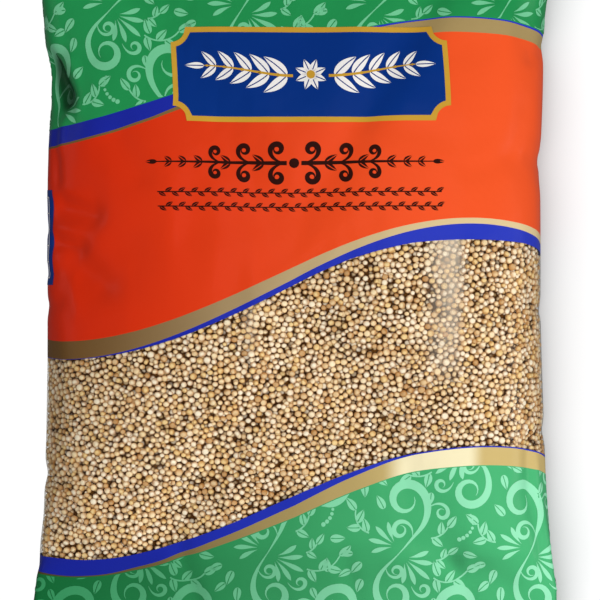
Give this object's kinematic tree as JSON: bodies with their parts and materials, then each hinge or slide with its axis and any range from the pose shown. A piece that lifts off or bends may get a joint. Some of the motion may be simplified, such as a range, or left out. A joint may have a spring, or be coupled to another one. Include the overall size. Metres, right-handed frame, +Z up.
{
  "type": "film bag of quinoa",
  "caption": "Pillow-shaped bag of printed film with crimped ends, a back seam and a clear wavy window on pale quinoa grains, lying on its back.",
  "frame": {"origin": "on the surface that the bag lies on, under the middle of the bag", "axes": "+Z up out of the printed front, +Y towards the top of the print, +X to the right of the print"},
  "size_m": [0.15, 0.23, 0.0346],
  "materials": {
    "green_film": "glossy printed film, green with a pale leaf pattern",
    "orange_film": "glossy printed film, plain orange",
    "blue_film": "glossy printed film, dark blue",
    "gold_film": "glossy printed film, dull gold",
    "window_film": "clear glossy film",
    "quinoa": "dry matt cream and tan grains"
  },
  "bodies": {
    "root": {"quinoa_bag": "green_film"}
  },
  "joints": []
}
